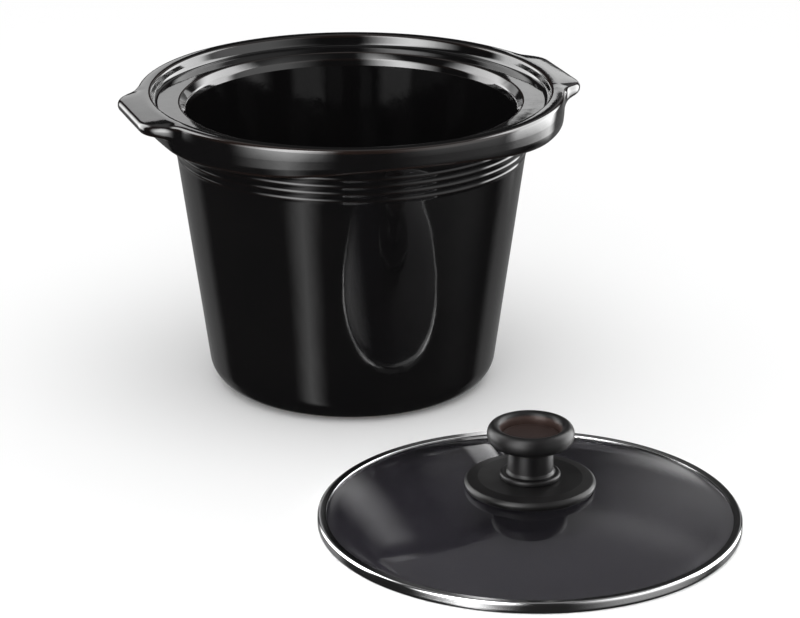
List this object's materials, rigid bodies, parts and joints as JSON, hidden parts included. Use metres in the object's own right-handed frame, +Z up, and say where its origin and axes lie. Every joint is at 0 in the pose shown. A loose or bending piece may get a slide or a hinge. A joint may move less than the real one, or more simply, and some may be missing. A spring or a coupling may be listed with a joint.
{
  "type": "slow cooker crock with lid",
  "caption": "Round tapered glazed stoneware pot with a stepped rim and two lug handles, and its domed glass lid with a steel rim band and a ring-shaped knob lying beside it.",
  "frame": {"origin": "centre of the crock's foot, on the surface it stands on", "axes": "+Z up along the crock's axis, +X and -X through the lug handles, the lid lies towards -Y"},
  "size_m": [0.255, 0.455, 0.1696],
  "materials": {
    "glaze": "gloss black glaze over stoneware",
    "smoked_glass": "clear gloss, smoked tempered glass",
    "band_steel": "polished stainless steel",
    "silicone": "matte silicone",
    "knob_plastic": "satin black phenolic moulding",
    "cap_plastic": "matte black-brown moulding",
    "brass": "machined",
    "fixing_steel": "zinc-plated"
  },
  "bodies": {
    "crock": {"crock": "glaze"},
    "lid": {"lid_glass": "smoked_glass", "rim_band": "band_steel", "rim_seal": "silicone", "upper_gasket": "silicone", "knob_skirt": "knob_plastic", "knob_grip": "knob_plastic", "knob_cap": "cap_plastic", "knob_insert": "brass", "knob_screw": "fixing_steel", "spring_washer": "fixing_steel", "flat_washer": "fixing_steel", "lower_gasket": "silicone"}
  },
  "joints": [
    {"name": "lid_lift", "type": "slide", "parent": "crock", "child": "lid", "axis": [0, 0, 1], "range_m": [0, 0.2]}
  ]
}
